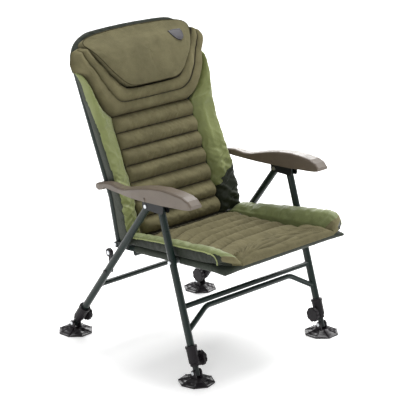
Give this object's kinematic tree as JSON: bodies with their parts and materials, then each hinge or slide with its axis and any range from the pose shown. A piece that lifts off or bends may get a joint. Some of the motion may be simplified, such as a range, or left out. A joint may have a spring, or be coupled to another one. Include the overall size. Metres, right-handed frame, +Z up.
{
  "type": "folding fishing chair",
  "caption": "Low folding tube-frame chair with telescopic legs on swivel feet, moulded armrests, a quilted mattress with a headrest and padded side wings.",
  "frame": {"origin": "on the ground under the middle of the four feet", "axes": "+Z up, -Y the way the sitter looks, +X to the sitter's left; names say left and right as seen from the front, so left is -X"},
  "size_m": [0.622, 0.7156, 0.9134],
  "materials": {
    "frame_tube": "dark green-grey powder coat, semi-gloss",
    "inner_tube": "dark powder coat, satin",
    "black_plastic": "matte black, fine grain",
    "armrest_plastic": "grey-brown, satin with a fine grain",
    "zinc_bolt": "bright zinc plate",
    "bracket_steel": "black paint, satin",
    "dark_cloth": "dark green woven polyester",
    "green_cloth": "olive green woven polyester with a soft sheen",
    "brown_fleece": "khaki brown brushed fleece, quilted"
  },
  "bodies": {
    "seat": {"seat_frame": "frame_tube", "seat_sling": "dark_cloth", "seat_pad": "brown_fleece", "seat_pad_rear": "brown_fleece", "seat_bolster_left": "green_cloth", "seat_bolster_right": "green_cloth", "seat_pivot_bolt_left": "zinc_bolt", "seat_pivot_bolt_right": "zinc_bolt", "back_pivot_bolt_left": "zinc_bolt", "back_pivot_bolt_right": "zinc_bolt"},
    "front_frame": {"front_leg_left": "frame_tube", "front_leg_right": "frame_tube", "front_cross_bar": "frame_tube", "front_brace": "frame_tube", "front_left_leg_collar": "black_plastic", "front_right_leg_collar": "black_plastic", "armrest_bracket_left": "bracket_steel", "armrest_bracket_right": "bracket_steel", "rear_leg_bolt_left": "zinc_bolt", "rear_leg_bolt_right": "zinc_bolt", "armrest_bolt_left": "armrest_plastic", "armrest_bolt_right": "armrest_plastic"},
    "rear_frame": {"rear_leg_left": "frame_tube", "rear_leg_right": "frame_tube", "rear_cross_bar": "frame_tube", "rear_left_leg_collar": "black_plastic", "rear_right_leg_collar": "black_plastic", "support_strap_left": "bracket_steel", "support_strap_right": "bracket_steel", "support_ring_left": "black_plastic", "support_ring_right": "black_plastic"},
    "armrest_left_body": {"armrest_left": "armrest_plastic"},
    "armrest_right_body": {"armrest_right": "armrest_plastic"},
    "backrest": {"back_frame": "frame_tube", "back_sling": "dark_cloth", "head_pocket": "dark_cloth", "back_pad": "brown_fleece", "back_pad_lower": "brown_fleece", "head_bands": "brown_fleece", "headrest": "brown_fleece", "back_wing_left": "green_cloth", "back_wing_right": "green_cloth", "back_wing_lower_left": "green_cloth", "back_wing_lower_right": "green_cloth"},
    "front_left_leg_end": {"front_left_inner_leg": "inner_tube", "front_left_foot_pin": "zinc_bolt"},
    "front_left_foot_body": {"front_left_foot": "black_plastic"},
    "front_left_knob_body": {"front_left_lock_knob": "black_plastic"},
    "front_right_leg_end": {"front_right_inner_leg": "inner_tube", "front_right_foot_pin": "zinc_bolt"},
    "front_right_foot_body": {"front_right_foot": "black_plastic"},
    "front_right_knob_body": {"front_right_lock_knob": "black_plastic"},
    "rear_left_leg_end": {"rear_left_inner_leg": "inner_tube", "rear_left_foot_pin": "zinc_bolt"},
    "rear_left_foot_body": {"rear_left_foot": "black_plastic"},
    "rear_left_knob_body": {"rear_left_lock_knob": "black_plastic"},
    "rear_right_leg_end": {"rear_right_inner_leg": "inner_tube", "rear_right_foot_pin": "zinc_bolt"},
    "rear_right_foot_body": {"rear_right_foot": "black_plastic"},
    "rear_right_knob_body": {"rear_right_lock_knob": "black_plastic"}
  },
  "joints": [
    {"name": "leg_fold", "type": "hinge", "parent": "seat", "child": "front_frame", "pos_m": [0, -0.14951, 0.339], "axis": [1, 0, 0], "range_deg": [0, 65]},
    {"name": "rear_leg_fold", "type": "hinge", "parent": "front_frame", "child": "rear_frame", "pos_m": [0, -0.05104, 0.48465], "axis": [1, 0, 0], "range_deg": [-48.1, 0]},
    {"name": "armrest_left_tilt", "type": "hinge", "parent": "front_frame", "child": "armrest_left_body", "pos_m": [0, -0.05104, 0.50565], "axis": [1, 0, 0], "range_deg": [-65, 0]},
    {"name": "armrest_right_tilt", "type": "hinge", "parent": "front_frame", "child": "armrest_right_body", "pos_m": [0, -0.05104, 0.50565], "axis": [1, 0, 0], "range_deg": [-65, 0]},
    {"name": "back_fold", "type": "hinge", "parent": "seat", "child": "backrest", "pos_m": [0, 0.12119, 0.31817], "axis": [1, 0, 0], "range_deg": [0, 72], "deforming": ["seat_pad_rear", "back_pad_lower", "back_wing_lower_left", "back_wing_lower_right"]},
    {"name": "front_left_leg_slide", "type": "slide", "parent": "front_frame", "child": "front_left_leg_end", "axis": [0, -0.3024, -0.9532], "range_m": [0, 0.1]},
    {"name": "front_right_leg_slide", "type": "slide", "parent": "front_frame", "child": "front_right_leg_end", "axis": [0, -0.3024, -0.9532], "range_m": [0, 0.1]},
    {"name": "rear_left_leg_slide", "type": "slide", "parent": "rear_frame", "child": "rear_left_leg_end", "axis": [0, 0.5948, -0.8039], "range_m": [0, 0.1]},
    {"name": "rear_right_leg_slide", "type": "slide", "parent": "rear_frame", "child": "rear_right_leg_end", "axis": [0, 0.5948, -0.8039], "range_m": [0, 0.1]},
    {"name": "front_left_foot_tilt", "type": "hinge", "parent": "front_left_leg_end", "child": "front_left_foot_body", "pos_m": [-0.265, -0.24753, 0.03], "axis": [1, 0, 0], "range_deg": [-25, 25]},
    {"name": "front_right_foot_tilt", "type": "hinge", "parent": "front_right_leg_end", "child": "front_right_foot_body", "pos_m": [0.265, -0.24753, 0.03], "axis": [1, 0, 0], "range_deg": [-25, 25]},
    {"name": "rear_left_foot_tilt", "type": "hinge", "parent": "rear_left_leg_end", "child": "rear_left_foot_body", "pos_m": [-0.265, 0.28539, 0.03], "axis": [1, 0, 0], "range_deg": [-25, 25]},
    {"name": "rear_right_foot_tilt", "type": "hinge", "parent": "rear_right_leg_end", "child": "rear_right_foot_body", "pos_m": [0.265, 0.28539, 0.03], "axis": [1, 0, 0], "range_deg": [-25, 25]},
    {"name": "front_left_knob_turn", "type": "hinge", "parent": "front_frame", "child": "front_left_knob_body", "pos_m": [-0.2434, -0.23664, 0.06431], "axis": [1, 0, 0], "range_deg": [0, 360]},
    {"name": "front_right_knob_turn", "type": "hinge", "parent": "front_frame", "child": "front_right_knob_body", "pos_m": [0.2434, -0.23664, 0.06431], "axis": [-1, 0, 0], "range_deg": [0, 360]},
    {"name": "rear_left_knob_turn", "type": "hinge", "parent": "rear_frame", "child": "rear_left_knob_body", "pos_m": [-0.2434, 0.26397, 0.05894], "axis": [1, 0, 0], "range_deg": [0, 360]},
    {"name": "rear_right_knob_turn", "type": "hinge", "parent": "rear_frame", "child": "rear_right_knob_body", "pos_m": [0.2434, 0.26397, 0.05894], "axis": [-1, 0, 0], "range_deg": [0, 360]}
  ],
  "couplings": [
    {"joint": "rear_leg_fold", "follows": "leg_fold", "ratio": -0.74},
    {"joint": "armrest_left_tilt", "follows": "leg_fold", "ratio": -1},
    {"joint": "armrest_right_tilt", "follows": "leg_fold", "ratio": -1}
  ]
}
